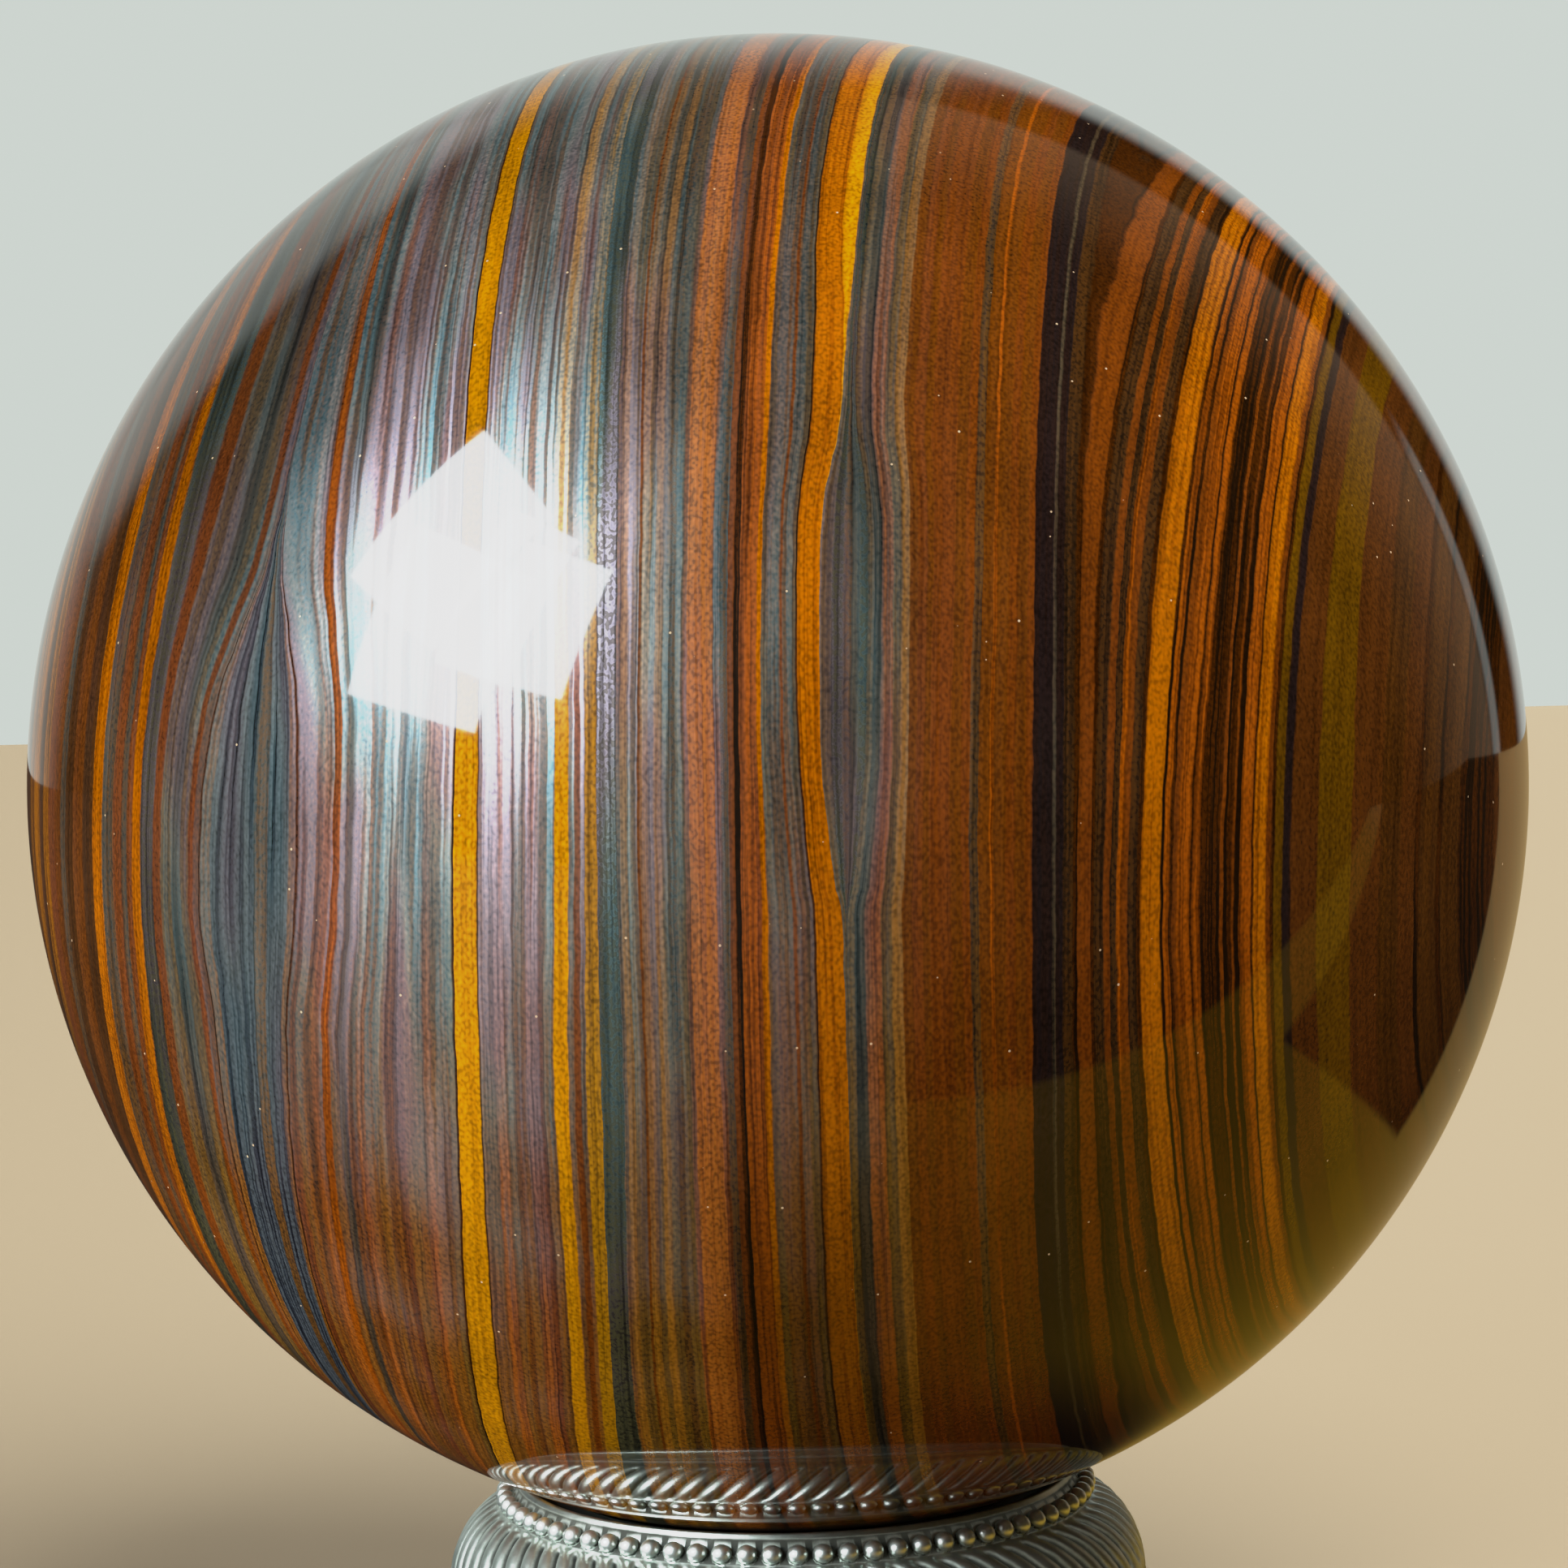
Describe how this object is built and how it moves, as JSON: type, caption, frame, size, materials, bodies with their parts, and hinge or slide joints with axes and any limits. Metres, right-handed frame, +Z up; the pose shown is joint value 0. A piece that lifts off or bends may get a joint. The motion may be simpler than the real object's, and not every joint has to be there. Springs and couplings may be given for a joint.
{
  "type": "decorative sphere on stand",
  "caption": "Polished banded stone sphere resting on a low round metal ring stand with a row of beads and swirled flutes.",
  "frame": {"origin": "centre of the ring stand's underside", "axes": "+Z up, -Y the front; the stone's bands run up and down across the front"},
  "size_m": [0.08, 0.08, 0.0877],
  "materials": {
    "banded_stone": "mirror polish over fibrous bands of gold, rust, brown and slate blue",
    "silver_metal": "satin silver-tone casting with dark recesses"
  },
  "bodies": {
    "root": {"stone_sphere": "banded_stone", "ring_stand": "silver_metal"}
  },
  "joints": []
}
